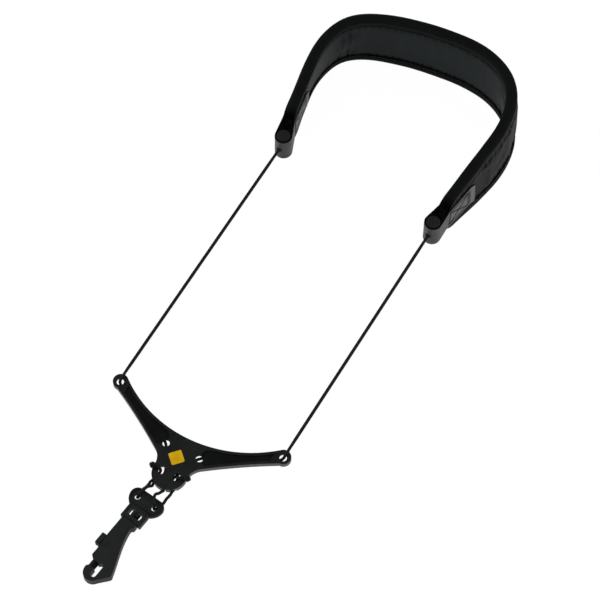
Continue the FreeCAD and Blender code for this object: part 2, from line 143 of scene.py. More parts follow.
def axes_along(along):
    """A unit vector along the given direction, and two more square to it."""
    along = np.array(along, float)
    along /= np.linalg.norm(along)
    side = np.cross(along, UP)
    side /= np.linalg.norm(side)
    return along, side, np.cross(side, along)


def place(obj, slot, body, *nodes):
    """Hides the CAD nodes a piece stands for and ties the piece to its body; slot is not used."""
    if nodes:
        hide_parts(*nodes)
    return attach(obj, body)


def travel(points):
    """Distance along a line of points to each of them."""
    return np.concatenate([[0], np.cumsum(np.linalg.norm(np.diff(points, axis=0), axis=1))])


def unit(x):
    """The value, held between 0 and 1."""
    return min(1.0, max(0.0, x))


def bell(x, middle, width):
    """1 at the middle, falling off smoothly to each side of it."""
    return exp(-((x - middle) / width) ** 2)


def spline(points, count):
    """Points evenly spaced along a natural cubic spline through the given points."""
    p = np.asarray(points, float)
    t = travel(p)
    n = len(p)
    h = np.diff(t)
    a = np.zeros((n, n))
    rhs = np.zeros((n, p.shape[1]))
    a[0, 0] = a[-1, -1] = 1
    for i in range(1, n - 1):
        a[i, i - 1:i + 2] = h[i - 1], 2 * (h[i - 1] + h[i]), h[i]
        rhs[i] = 6 * ((p[i + 1] - p[i]) / h[i] - (p[i] - p[i - 1]) / h[i - 1])
    m = np.linalg.solve(a, rhs)
    fine = np.linspace(0, t[-1], 2000)
    k = np.clip(np.searchsorted(t, fine, side="right") - 1, 0, n - 2)
    u, w = (fine - t[k])[:, None], (t[k + 1] - fine)[:, None]
    hk = h[k][:, None]
    curve = (m[k] * w ** 3 + m[k + 1] * u ** 3) / (6 * hk)
    curve += (p[k] / hk - m[k] * hk / 6) * w + (p[k + 1] / hk - m[k + 1] * hk / 6) * u
    return even(curve, count)


def even(curve, count):
    """Points at equal steps along a polyline."""
    run = travel(curve)
    want = np.linspace(0, run[-1], count)
    return np.stack([np.interp(want, run, curve[:, c]) for c in range(curve.shape[1])], axis=1)


def side_normals(points):
    """Unit normals of a flat line, to its left."""
    t = np.gradient(points, axis=0)
    t /= np.linalg.norm(t, axis=1)[:, None]
    return np.stack([-t[:, 1], t[:, 0]], axis=1)


# ------------------------------------------------------------------ the pad's surface
EXITS = {s: np.array([SIGN[s] * TIP_X, 0.0, END_Z]) + RUN[s] * DIR for s in SIGN}
DOWELS = {s: EXITS[s] + DOWEL_IN * DIR for s in SIGN}
LINE = (DOWELS["right"] - DOWELS["left"])[:2]
LINE /= np.linalg.norm(LINE)
BACKWARD = np.array([-LINE[1], LINE[0]])
PAD_ORG = (DOWELS["left"] + DOWELS["right"])[:2] / 2
FINE = 425
TOP = spline(UPPER, FINE)
LOW = spline([(a[0] + b[0], a[1] + b[1]) for a, b in zip(UPPER, SPREAD)], FINE)
TOP_N, LOW_N = side_normals(TOP), side_normals(LOW)
CORNER_DROP, CORNER_RUN = 6.2, 11.0
EDGE_RISE, RISE_FROM, RISE_RUN = 8.1, -2.0, 86.0        # the lower edge's lift at the pad's ends
PAD_LEN = float(travel((TOP + LOW) / 2)[-1])


def lower_edge(i):
    """Height of the pad's lower edge at fine station i: it rises towards the ends."""
    v = ((TOP[i] + LOW[i]) / 2 - PAD_ORG) @ BACKWARD
    return EDGE_RISE * (0.5 + 0.5 * cos(pi * min(max((v - RISE_FROM) / RISE_RUN, 0), 1)))


def pad_point(s, z, off):
    """A point of the pad: s is 0 to 1 along it, z the height, off the distance outwards from the middle."""
    x = s * (FINE - 1)
    i = min(int(x), FINE - 2)
    f = x - i
    g = z / PAD_H
    top = TOP[i] * (1 - f) + TOP[i + 1] * f
    low = LOW[i] * (1 - f) + LOW[i + 1] * f
    n = (TOP_N[i] * (1 - f) + TOP_N[i + 1] * f) * g + (LOW_N[i] * (1 - f) + LOW_N[i + 1] * f) * (1 - g)
    n /= np.linalg.norm(n)
    p = low * (1 - g) + top * g + n * off
    return np.array([p[0], p[1], z]), np.array([n[0], n[1], 0.0])


def edge_height(s):
    """Height of the lower edge at s, with the corners of the ends rounded off."""
    x = s * (FINE - 1)
    i = min(int(x), FINE - 2)
    rise = lower_edge(i) * (1 - (x - i)) + lower_edge(i + 1) * (x - i)
    to_end = min(s, 1 - s) * PAD_LEN
    return rise + CORNER_DROP * max(0.0, 1 - to_end / CORNER_RUN) ** 2.2


# ------------------------------------------------------------------ materials
def nodes_of(name):
    """A new material with its node tree and its principled shader."""
    m = bpy.data.materials.new(name)
    m.use_nodes = True
    tree = m.node_tree
    tree.nodes.clear()
    out = tree.nodes.new("ShaderNodeOutputMaterial")
    bsdf = tree.nodes.new("ShaderNodeBsdfPrincipled")
    tree.links.new(bsdf.outputs[0], out.inputs[0])
    return m, tree, bsdf


def add(tree, kind, **values):
    """A node with the given properties, or input values where it has no such property."""
    node = tree.nodes.new(kind)
    for key, value in values.items():
        if hasattr(node, key):
            setattr(node, key, value)
        else:
            put(node, **{key: value})
    return node


def put(node, **values):
    """Sets inputs by name, with _ for a space, each to a value or to what a socket gives."""
    for key, value in values.items():
        socket = node.inputs[key.replace("_", " ")]
        if isinstance(value, bpy.types.NodeSocket):
            node.id_data.links.new(value, socket)
        else:
            socket.default_value = value


def ramp(tree, source, stops):
    """A colour ramp over source, through (position, colour) stops."""
    node = tree.nodes.new("ShaderNodeValToRGB")
    while len(node.color_ramp.elements) > len(stops):
        node.color_ramp.elements.remove(node.color_ramp.elements[-1])
    while len(node.color_ramp.elements) < len(stops):
        node.color_ramp.elements.new(0.5)
    for element, (pos, colour) in zip(node.color_ramp.elements, stops):
        element.position = pos
        element.color = (*colour, 1) if len(colour) == 3 else colour
    tree.links.new(source, node.inputs[0])
    return node.outputs[0]


def maths(tree, operation, a, b):
    """A maths node; a and b are sockets or numbers."""
    node = tree.nodes.new("ShaderNodeMath")
    node.operation = operation
    for socket, value in zip(node.inputs, (a, b)):
        if isinstance(value, (int, float)):
            socket.default_value = value
        else:
            tree.links.new(value, socket)
    return node.outputs[0]


def times(tree, a, b):
    """The product of two sockets or numbers."""
    return maths(tree, "MULTIPLY", a, b)


def plus(tree, a, b):
    """The sum of two sockets or numbers."""
    return maths(tree, "ADD", a, b)


def fresh(tree, kind, output):
    """One output of a new node that takes no input."""
    return tree.nodes.new("ShaderNode" + kind).outputs[output]


def bump(tree, bsdf, layers):
    """Stacks bump maps: (height socket, strength, distance in mm)."""
    last = None
    for height, strength, distance in layers:
        node = tree.nodes.new("ShaderNodeBump")
        put(node, Strength=strength, Distance=distance * MM, Height=height)
        if last is not None:
            put(node, Normal=last)
        last = node.outputs["Normal"]
    put(bsdf, Normal=last)


def noise(tree, coords, size, detail=3.0, rough=0.55):
    """Noise whose features are about size millimetres across, for coordinates in metres."""
    node = add(tree, "ShaderNodeTexNoise", Vector=coords, Scale=1.0 / (size * MM), Detail=detail,
               Roughness=rough)
    return node.outputs["Fac"]


def scaled(tree, bsdf, colour, tone):
    """The base colour is the colour times the tone."""
    scale = add(tree, "ShaderNodeVectorMath", operation="SCALE", Vector=colour, Scale=tone)
    put(bsdf, Base_Color=scale.outputs[0])


def shaded(tree, bsdf, colour, gloss):
    """Base colour and gloss, both scaled by the mesh's own shade value: painted shade along seams, between
    knot wraps and near the pad's ends, and painted highlights on lit places.
    """
    tone = add(tree, "ShaderNodeAttribute", attribute_name="shade").outputs["Fac"]
    scaled(tree, bsdf, colour, tone)
    put(bsdf, Specular_IOR_Level=times(tree, tone, gloss))


def plastic(name, colour, rough=0.42, grain=0.35, wear=0.25, wall=1.0, recess=None, gloss=0.5):
    """Moulded plastic: fine spark-erosion grain, soft mottling, scuffed and paler on the edges.
    wall scales the upright faces' colour and gloss, as a painted reflection of the pale floor above 1 and as
    painted shade below 1; recess is a height in mm under which level faces get painted shade."""
    m, tree, bsdf = nodes_of(name)
    coords = fresh(tree, "TexCoord", "Object")
    fine = noise(tree, coords, grain, 4)
    broad = noise(tree, coords, 9.0, 4)
    scuff = noise(tree, coords, 1.6, 6, 0.7)
    dark = tuple(c * 0.82 for c in colour)
    pale = tuple(min(c * 1.25 + 0.004, 1) for c in colour)
    base = ramp(tree, broad, [(0.3, dark), (0.72, pale)])
    geometry = tree.nodes.new("ShaderNodeNewGeometry")
    edge = ramp(tree, geometry.outputs["Pointiness"], [(0.52, (0, 0, 0)), (0.62, (1, 1, 1))])
    worn = times(tree, times(tree, edge, scuff), wear)
    mix = add(tree, "ShaderNodeMix", data_type="RGBA")
    tree.links.new(worn, mix.inputs[0])
    tree.links.new(base, mix.inputs[6])
    mix.inputs[7].default_value = (*[min(c * 3 + 0.03, 1) for c in colour], 1)
    part = tree.nodes.new("ShaderNodeSeparateXYZ")
    tree.links.new(geometry.outputs["True Normal"], part.inputs[0])
    level_z = maths(tree, "ABSOLUTE", part.outputs["Z"], 0.0)
    flat = ramp(tree, level_z, [(0.25, (0, 0, 0)), (0.85, (1, 1, 1))])
    # painted light and shade on the upright faces, set by wall
    upright = times(tree, maths(tree, "SUBTRACT", 1.0, flat), wall)
    # painted shade on level faces below the recess height
    if recess is not None:
        where = tree.nodes.new("ShaderNodeSeparateXYZ")
        tree.links.new(coords, where.inputs[0])
        deep = ramp(tree, times(tree, where.outputs["Z"], 100.0),
                    [((recess - 0.25) / 10, (0.55,) * 3), ((recess + 0.1) / 10, (1.0,) * 3)])
        flat = times(tree, flat, deep)
    # tone carries this painted light and shade into the colour and the gloss
    tone = plus(tree, flat, upright)
    scaled(tree, bsdf, mix.outputs[2], tone)
    shine = maths(tree, "MINIMUM", times(tree, tone, gloss), 0.8)
    level = ramp(tree, scuff, [(0.25, (rough - 0.07,) * 3), (0.8, (rough + 0.12,) * 3)])
    put(bsdf, Specular_IOR_Level=shine, Roughness=level)
    bump(tree, bsdf, [(fine, 0.35, 0.05), (broad, 0.15, 0.2)])
    return m


WAVE_MM = 0.314         # wave texture scale that repeats once per unit


def bands(tree, uv, direction, scale, distortion, **values):
    """Rows of yarn in one direction."""
    node = add(tree, "ShaderNodeTexWave", wave_type="BANDS", bands_direction=direction, Scale=scale,
               Distortion=distortion, Detail=1.0, Vector=uv, **values)
    return node.outputs["Fac"]


def cloth(name, colour, weave, sheen, rough, mottle, gloss):
    """Closely woven or knitted cloth on UVs laid out in millimetres."""
    m, tree, bsdf = nodes_of(name)
    coord = tree.nodes.new("ShaderNodeTexCoord").outputs
    uv = coord["UV"]
    knit = times(tree, *(bands(tree, uv, way, WAVE_MM / weave, 1.2, Detail_Scale=0.4) for way in "XY"))
    fuzz = noise(tree, coord["Object"], 0.35, 5, 0.7)
    broad = noise(tree, coord["Object"], 16.0, 5, 0.6)
    dark = tuple(c * (1 - mottle) for c in colour)
    pale = tuple(min(c * (1 + mottle), 1) for c in colour)
    shade = plus(tree, times(tree, broad, 0.55), times(tree, knit, 0.25))
    shade = plus(tree, shade, times(tree, fuzz, 0.2))
    shaded(tree, bsdf, ramp(tree, shade, [(0.25, dark), (0.7, pale)]), gloss)
    put(bsdf, Roughness=ramp(tree, fuzz, [(0.2, (rough - 0.1,) * 3), (0.8, (rough + 0.1,) * 3)]),
        Sheen_Weight=sheen, Sheen_Roughness=0.45)
    bump(tree, bsdf, [(knit, 0.5, 0.12), (fuzz, 0.3, 0.08), (broad, 0.25, 0.6)])
    return m


def webbing_mat(name, colour):
    """Ribbed narrow webbing with the shine of filament yarn; UVs run along and across it in millimetres."""
    m, tree, bsdf = nodes_of(name)
    coord = tree.nodes.new("ShaderNodeTexCoord").outputs
    uv = coord["UV"]
    rib = bands(tree, uv, "X", WAVE_MM / 1.15, 0.6)
    yarn = bands(tree, uv, "Y", WAVE_MM / 0.85, 0.8)
    weave = maths(tree, "MAXIMUM", rib, times(tree, yarn, 0.8))
    fuzz = noise(tree, coord["Object"], 0.4, 5, 0.7)
    broad = noise(tree, coord["Object"], 8.0, 4)
    shade = plus(tree, times(tree, weave, 0.5), times(tree, fuzz, 0.25))
    shade = plus(tree, shade, times(tree, broad, 0.3))
    dark = tuple(c * 0.5 for c in colour)
    pale = tuple(min(c * 1.35, 1) for c in colour)
    shaded(tree, bsdf, ramp(tree, shade, [(0.2, dark), (0.8, pale)]), 0.42)
    put(bsdf, Roughness=0.42, Sheen_Weight=0.15)
    bump(tree, bsdf, [(weave, 0.6, 0.25), (fuzz, 0.3, 0.08)])
    return m


def cord_mat(name, colour, lit_and_pale_colour):
    """Braided cord: the strands are geometry; this adds the yarn's fine lines, fuzz, colour change, and
    painted light on the strands' crowns with painted shade in the crevices between them.
    """
    m, tree, bsdf = nodes_of(name)
    coord = tree.nodes.new("ShaderNodeTexCoord").outputs
    yarn = bands(tree, coord["UV"], "DIAGONAL", 0.9, 0.5)
    fuzz = noise(tree, coord["Object"], 0.3, 5, 0.7)
    broad = noise(tree, coord["Object"], 3.0, 3)
    # painted light on the crowns of the strands and painted shade between them
    crown = ramp(tree, fresh(tree, "NewGeometry", "Pointiness"), [(0.44, (0, 0, 0)), (0.56, (1, 1, 1))])
    shade = plus(tree, times(tree, crown, 0.55), times(tree, fuzz, 0.25))
    shade = plus(tree, shade, times(tree, broad, 0.2))
    put(bsdf, Base_Color=ramp(tree, shade, [(0.2, colour), (0.85, lit_and_pale_colour)]), Roughness=0.6,
        Specular_IOR_Level=0.25, Sheen_Weight=0.05)
    bump(tree, bsdf, [(yarn, 0.3, 0.06), (fuzz, 0.4, 0.06)])
    return m


def metal(name, colour, rough):
    """Drawn steel wire with fine scratches."""
    m, tree, bsdf = nodes_of(name)
    coords = fresh(tree, "TexCoord", "Object")
    fine = noise(tree, coords, 0.4, 4)
    put(bsdf, Roughness=ramp(tree, fine, [(0.3, (rough - 0.06,) * 3), (0.8, (rough + 0.1,) * 3)]),
        Base_Color=ramp(tree, fine, [(0.3, tuple(c * 0.85 for c in colour)), (0.8, colour)]), Metallic=1.0)
    bump(tree, bsdf, [(fine, 0.2, 0.03)])
    return m


# cloth: colour, weave in mm, sheen, roughness, mottling, gloss
CLOTHS = {
    "cover": ("cover_cloth", (0.0105, 0.0115, 0.011), 0.42, 0.02, 0.6, 0.15, 0.14),
    "lining": ("lining_cloth", (0.0084, 0.0134, 0.0139), 0.42, 0.03, 0.55, 0.15, 0.18),
    "binding": ("binding_tape", (0.0042, 0.0050, 0.0050), 0.75, 0.01, 0.62, 0.3, 0.12),
    "thread": ("black_thread", (0.004, 0.0045, 0.0045), 0.3, 0.0, 0.45, 0.3, 0.2),
    # the webbing's black edges; also laid over its inner side as painted shade
    "web_edge_and_shade": ("webbing_edge_and_shade", (0.006, 0.007, 0.007), 0.8, 0.02, 0.6, 0.3, 0.15),
}
MATS = {key: cloth(*values) for key, values in CLOTHS.items()}
MATS["webbing"] = webbing_mat("grey_webbing", (0.040, 0.041, 0.0405))
MATS["dowel"] = plastic("dowel_plastic", (0.0055, 0.0062, 0.006), 0.55)
# the second colour is the painted light on the strands' crowns, and the cord's paler flecks
MATS["cord"] = cord_mat("braided_cord", (0.0015, 0.0015, 0.0017), (0.008, 0.008, 0.0085))
# the yoke's upright faces get a painted reflection of the pale floor, and its channels below 4.75 mm get
# painted shade
MATS["yoke"] = plastic("yoke_plastic", (0.0042, 0.0050, 0.0050), 0.34, wall=2.6, recess=4.75)
MATS["badge"] = plastic("badge_plastic", (0.66, 0.40, 0.002), 0.55, wear=0.0, gloss=0.1)
# the hook's upright faces are painted darker, as painted shade
MATS["hook"] = plastic("hook_plastic", (0.0052, 0.0066, 0.0065), 0.38, wear=0.35, wall=0.4)
MATS["bolt"] = plastic("bolt_plastic", (0.0030, 0.0036, 0.0036), 0.4, gloss=0.25)
MATS["stud"] = plastic("stud_plastic", (0.0035, 0.0040, 0.0040), 0.3)
MATS["spring"] = metal("spring_steel", (0.55, 0.55, 0.56), 0.3)
CAD_MATS = {"yoke": "yoke", "yoke_badge": "badge", "swivel_plate": "hook", "hook_body": "hook",
            "bolt": "bolt", "thumb_button": "hook", "swivel_stud": "stud", "left_dowel": "dowel",
            "right_dowel": "dowel"}


def paint(obj, key):
    """Gives an object one material, and returns it."""
    obj.data.materials.clear()
    obj.data.materials.append(MATS[key])
    return obj


for node_name, key in CAD_MATS.items():
    paint(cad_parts[node_name], key)


# ------------------------------------------------------------------ padded band
TAPE_LAP = 8.0          # how far the edge tape reaches in from the edge
SEAM_IN = 1.7           # its stitch line from its hem
STITCH_PITCH = 3.8
COVER_IN = 1.2          # the cover's edge inside the tape
COVER_UNDER = 1.75      # the cover's face under the tape's before it is stuffed
STUFFING = 1.6          # the most that the stuffing lifts the cover
SIM_FRAMES = 18
THREAD_R = 0.30
# creases across the band: place along it, depth, width in mm, lean, share on the outer face
CREASES = [(0.247, 0.75, 1.9, 0.010, 0.2), (0.268, 1.05, 1.5, -0.004, 0.15), (0.284, 0.5, 2.2, 0.006, 0.1),
           (0.208, 0.35, 2.6, 0.004, 0.3), (0.655, 0.45, 2.6, 0.003, 0.5), (0.688, 0.6, 2.0, -0.004, 0.3),
           (0.712, 0.4, 2.4, 0.004, 0.3)]


def thickness(s, z):
    """Half the thickness of the stuffed band before it is blown up, at one place."""
    low, high = edge_height(s), PAD_H - edge_height(s)
    from_tape = min(z - low, high - z) - TAPE_LAP
    return PAD_HALF - COVER_UNDER + 0.85 * unit((from_tape + 0.2) / 4.5) ** 0.6


def blow_up(cols, rows):
    """Cloth simulation of the band: a closed form pinned under the tapes and at the ends, under pressure.
    Returns how far each grid point moved outwards, in millimetres, as [station, row, face]."""
    ring = 2 * rows
    verts, pinned, outward = [], [], []
    for i in range(cols):
        s = i / (cols - 1)
        low, high = edge_height(s) + COVER_IN, PAD_H - edge_height(s) - COVER_IN
        for j in range(ring):
            side = -1 if j < rows else 1
            k = j if j < rows else ring - 1 - j
            z = low + (high - low) * k / (rows - 1)
            p, n = pad_point(s, z, side * thickness(s, z))
            verts.append(p)
            outward.append(n * side)
            end = min(s, 1 - s) * PAD_LEN
            pinned.append(min(z - low, high - z) < TAPE_LAP - 1.6 or end < 4.0)
    obj = make_mesh("blown_band", verts, closed_faces(cols, ring, inward=True))
    group = obj.vertex_groups.new(name="pin")
    group.add([i for i, held in enumerate(pinned) if held], 1.0, "REPLACE")
    mod = obj.modifiers.new("cloth", "CLOTH")
    mod.settings.quality = 5
    mod.settings.use_pressure = True
    mod.settings.uniform_pressure_force = 4.0
    mod.settings.vertex_group_mass = "pin"
    mod.settings.shrink_min = -0.03
    mod.settings.bending_stiffness = 0.6
    mod.settings.effector_weights.gravity = 0.0
    scene = bpy.context.scene
    scene.frame_start, scene.frame_end = 1, SIM_FRAMES
    mod.point_cache.frame_start, mod.point_cache.frame_end = 1, SIM_FRAMES
    for f in range(1, SIM_FRAMES + 1):
        scene.frame_set(f)
    done = obj.evaluated_get(bpy.context.evaluated_depsgraph_get())
    blown = done.to_mesh()
    co = np.array([v.co for v in blown.vertices], float) / MM
    done.to_mesh_clear()
    scene.frame_set(1)
    bpy.data.objects.remove(obj)
    out = ((co - np.array(verts)) * np.array(outward)).sum(axis=1).reshape(cols, ring)
    return np.stack([out[:, :rows], out[:, rows:][:, ::-1]], axis=2)


def gathers(u):
    """How deep the cover is drawn in along its tape seam, 0 to 1, at u millimetres along the band."""
    wave = 0.30 * sin(2 * pi * u / 7.4 + 1.7 * sin(u / 23))
    wave += 0.24 * sin(2 * pi * u / 4.6 + 2.1 * sin(u / 31))
    return unit(0.5 + wave)


def pad_cushion():
    """The stuffed band: the blown-up form, with creases at the bends and puckers along the tapes."""
    sim_cols, sim_rows = 96, 19
    field = blow_up(sim_cols, sim_rows)
    field = np.clip(field, -0.2, STUFFING)
    cols, rows = 470, 27
    ring = 2 * rows
    verts, uv, shade = [], [], []
    for i in range(cols):
        s = i / (cols - 1)
        x = s * (sim_cols - 1)
        i0 = min(int(x), sim_cols - 2)
        end = min(s, 1 - s) * PAD_LEN
        let = unit((end - 30.0) / 22.0)
        edge = edge_height(s)
        low, high = edge + COVER_IN, PAD_H - edge - COVER_IN
        stitch = cos(2 * pi * s * PAD_LEN / STITCH_PITCH)
        gather = gathers(s * PAD_LEN)
        for j in range(ring):
            face = 0 if j < rows else 1
            k = j if j < rows else ring - 1 - j
            g = k / (rows - 1)
            g -= 0.30 * sin(2 * pi * g) / (2 * pi)
            z = low + (high - low) * g
            y = g * (sim_rows - 1)
            k0 = min(int(y), sim_rows - 2)
            fx, fy = x - i0, y - k0
            m = field[i0:i0 + 2, k0:k0 + 2, face]
            push = (m[0, 0] * (1 - fx) * (1 - fy) + m[1, 0] * fx * (1 - fy)
                    + m[0, 1] * (1 - fx) * fy + m[1, 1] * fx * fy)
            half = thickness(s, z) + push * let
            gap = min(z - edge, PAD_H - edge - z) - TAPE_LAP
            free = unit((gap + 1.0) / 5.0)
            for at, depth, width, lean, share in CREASES:
                d = (s - at - lean * (g - 0.5)) * PAD_LEN / width
                if abs(d) < 3:
                    dent = exp(-d * d) - 0.35 * exp(-((abs(d) - 1.7) ** 2) * 2)
                    half -= depth * dent * free ** 0.7 * (1.0 if face == 0 else share)
            half += 0.13 * free * sin(s * 57 + 2.3 * g + face) * sin(s * 21 + 1.1 + 3 * g)
            half += 0.06 * free * sin(s * 171 + 6 * g + 2 * face)
            half += 0.2 * stitch * bell(gap, 1.2, 1.5)
            half += (1.0 if face else 0.45) * (0.4 - gather) * bell(gap, 1.7, 1.5)
            verts.append(pad_point(s, z, half if face else -half)[0])
            # painted shade along the tape's edge and in the cover's gathers, with painted highlights on the
            # cover between the gathers
            seam_shade_and_glint = 1 - 0.6 * bell(gap, 0, 0.9)
            if face:
                seam_shade_and_glint -= 1.25 * gather * bell(gap, 1.9, 1.8)
                seam_shade_and_glint += 0.6 * (1 - gather) * bell(gap, 1.0, 0.9)
            else:
                seam_shade_and_glint -= 0.45 * gather * bell(gap, 1.5, 1.1)
                seam_shade_and_glint += 0.3 * (1 - gather) * bell(gap, 1.4, 0.9)
            seam_shade_and_glint = max(0.05, seam_shade_and_glint)
            # painted shade near the pad's ends, by the dowels
            shade.append(seam_shade_and_glint * min(1.0, max(0.12, (end - 1.0) / 6.0)))
            uv.append((s * PAD_LEN, z + 80 * face))
    obj = make_mesh("pad_cushion", verts, closed_faces(cols, ring, inward=True), uv=uv, shade=shade)
    obj.data.materials.append(MATS["cover"])
    obj.data.materials.append(MATS["lining"])
    inner = [len(f.vertices) == 4 and f.vertices[0] % ring < rows - 1 for f in obj.data.polygons]
    obj.data.polygons.foreach_set("material_index", [int(lined) for lined in inner])
    place(obj, "pad_cover", "pad", "pad_core", "outer_cover", "inner_lining")


def binding(name, upper):
    """Folded tape over one edge of the band, rolled at the edge and drawn in at each stitch."""
    cols = 560
    lap, t, half, crown = TAPE_LAP, 0.6, PAD_HALF - 0.05, 2.3
    leg = [(half, crown + (lap - crown) * f) for f in np.linspace(1, 0, 9)]
    arc = []
    for k in range(1, 12):
        a = pi * k / 12
        arc.append((half * cos(a), crown * (1 - sin(a) ** 0.9)))
    outer = [(half - 0.42, lap + 0.02), (half - 0.14, lap + 0.12)] + leg + arc
    outer += [(-o, d) for o, d in reversed(leg)] + [(-half + 0.14, lap + 0.12), (-half + 0.42, lap + 0.02)]
    inner = []
    for o, d in outer[2:-2]:
        inner.append((o * (half - t) / half, d + (t * max(0.0, 1 - d / crown) if d < crown else 0.0)))
    loop = outer + list(reversed(inner))
    m = len(loop)
    verts, uv, shade = [], [], []
    round_tape = travel(loop)
    for i in range(cols):
        s = i / (cols - 1)
        edge = edge_height(s)
        u = s * PAD_LEN
        beat = cos(2 * pi * u / STITCH_PITCH)
        gather = gathers(u)
        for k, (o, d) in enumerate(loop):
            seam = bell(d, lap - SEAM_IN, 1.1)
            lip = bell(d, lap, 0.9)
            pull = -0.36 * seam + 0.16 * beat * seam + 0.18 * lip * beat
            wave = 0.16 * sin(u / 8.3 + (1.3 if o > 0 else 0)) + 0.09 * sin(u / 3.1 + 2)
            slack = 0.10 * sin(u / 5.7 + 0.6 * (o > 0)) * sin(pi * min(1, d / lap))
            pulled = (0.9 if o > 0 else 0.35) * (gather - 0.5)
            dd = d + (wave + 0.12 * beat + pulled) * unit((d - lap + 3.0) / 3.0)
            z = (PAD_H - edge - dd) if upper else edge + dd
            off = o + (pull + slack) * min(1.0, abs(o) / 2.0) * (1 if o > 0 else -1)
            verts.append(pad_point(s, z, off)[0])
            uv.append((u, round_tape[k]))
            # painted shade near the pad's ends and along the stitch line, and painted highlight dots along
            # the hem where the tape is not gathered
            end_shade = min(1.0, max(0.15, (min(u, PAD_LEN - u) - 1.0) / 9.0))
            glint = bell(d, lap - 0.8, 1.6) * 3.6 if o > 0 else lip * 1.4
            hem_glint = glint * (1 - gather) ** 2
            shade.append(end_shade * (1 - 0.35 * seam + hem_glint))
    faces = grid_faces(cols, m, wrap_cols=True)
    half_n = len(outer)
    hem = 2                 # points of the turned hem, which the inner side doesn't have
    for base, flip in ((0, False), ((cols - 1) * m, True)):
        for k in range(hem, half_n - 1 - hem):
            other = m - 1 - (k - hem)
            quad = (base + k, base + k + 1, base + other - 1, base + other)
            faces.append(quad if flip else tuple(reversed(quad)))
        for lipped in ((0, 1, 2, m - 1), (half_n - 3, half_n - 2, half_n - 1, half_n)):
            quad = tuple(base + v for v in lipped)
            faces.append(quad if flip else tuple(reversed(quad)))
    obj = paint(make_mesh(name, verts, faces, uv=uv, shade=shade), "binding")
    place(obj, "binding", "pad", name.replace("_tape", "_binding"))


def capsules(name, spans, radius, key):
    """Short thread stitches as one mesh; spans are (start, end, outward normal)."""
    verts, faces, uv = [], [], []
    ring, rows = 8, 7
    for a, b, n in spans:
        axis = b - a
        length = np.linalg.norm(axis)
        axis = axis / length
        side = np.cross(n, axis)
        side /= np.linalg.norm(side)
        base = len(verts)
        for i in range(rows):
            f = i / (rows - 1)
            swell = sqrt(max(0.0, 1 - (2 * f - 1) ** 4)) * 0.92 + 0.08
            sink = -radius * 1.1 * (2 * f - 1) ** 4
            verts += ring_points(a + axis * length * f + n * sink, side, n, [radius * swell] * ring)
            uv += [(f * length, 2 * pi * j / ring * radius) for j in range(ring)]
        faces += closed_faces(rows, ring, base=base)
    return paint(make_mesh(name, verts, faces, uv=uv), key)


def on_pad(s0, z0, s1, z1, off, face):
    """A stitch between two places of the pad's outer (face 1) or inner (face -1) side."""
    start, _ = pad_point(s0, z0, face * off)
    end, n = pad_point(s1, z1, face * off)
    return start, end, n * face


def binding_stitches():
    """The thread along both tapes, on both faces; the upper row starts and ends one stitch in."""
    for name, upper in (("upper_stitches", True), ("lower_stitches", False)):
        spans = []
        count = int(PAD_LEN / STITCH_PITCH)
        for i in range(count):
            if upper and i in (0, count - 1):
                continue
            s0, s1 = (i + 0.16) / count, (i + 0.84) / count
            z0, z1 = (edge_height(s) + TAPE_LAP - SEAM_IN for s in (s0, s1))
            if upper:
                z0, z1 = PAD_H - z0, PAD_H - z1
            spans += [on_pad(s0, z0, s1, z1, PAD_HALF - 0.22, face) for face in (-1, 1)]
        place(capsules(name, spans, THREAD_R, "thread"), "binding", "pad")


# ------------------------------------------------------------------ webbing tabs
WEB_T, WEB_W = 1.5, 24.6
PAD_END = {"left": (0.0, 1), "right": (1.0, -1)}        # place along the pad, and the way inwards from there
PHASE = {"left": 0.4, "right": 2.1}     # makes the ripples of the two sides differ
LEG_OUTER, LEG_INNER = 36.0, 34.0       # length of the sewn legs on the pad's two faces
# the box and cross seam and the bar beside it, as (along the leg from the pad's end, up the webbing)
SEAMS = [((3.0, 3.0), (27.5, 3.0)), ((3.0, 21.6), (27.5, 21.6)), ((27.5, 3.0), (27.5, 21.6)),
         ((3.0, 3.0), (3.0, 21.6)), ((3.0, 3.0), (27.5, 21.6)), ((3.0, 21.6), (27.5, 3.0)),
         ((29.6, 3.2), (29.6, 21.4))]


def seam_gap(d, h):
    """Distance in millimetres from a place on the webbing to the nearest seam."""
    best = 99.0
    for (d0, h0), (d1, h1) in SEAMS:
        vx, vy = d1 - d0, h1 - h0
        f = max(0.0, min(1.0, ((d - d0) * vx + (h - h0) * vy) / (vx * vx + vy * vy)))
        best = min(best, hypot(d - d0 - f * vx, h - h0 - f * vy))
    return best


def tab_line(side, z, count):
    """The webbing's middle line at one height: along the outer face, round the dowel, back along the
    inner face. Returns its points and their outward normals."""
    to_end, sgn = PAD_END[side]
    centre = DOWELS[side][:2]
    end, n_end = pad_point(to_end, END_Z, 0)
    axis = (end[:2] - centre) / np.linalg.norm(end[:2] - centre)
    across = np.array([-axis[1], axis[0]])
    if across @ n_end[:2] < 0:
        across = -across
    r = DOWEL_R + WEB_T / 2
    angles = np.linspace(-0.10, pi + 0.10, 25)
    turn = [centre + r * (across * cos(a) - axis * sin(a)) for a in angles]
    legs = []
    for face, length in ((1, LEG_OUTER), (-1, LEG_INNER)):
        pts = []
        for d in np.linspace(length, 1.5, 20):
            curl = 0.9 * max(0.0, (d - length + 6) / 6) ** 2 * face
            p, _ = pad_point(to_end + sgn * d / PAD_LEN, z, face * (LEG_AT + WEB_T / 2) + curl)
            pts.append(p[:2])
        legs.append(pts)
    line = even(smooth_line(np.array(legs[0] + turn + legs[1][::-1])), count)
    normals = side_normals(line)
    if normals[2] @ pad_point(to_end, END_Z, 0)[1][:2] < 0:
        normals = -normals
    return line, normals


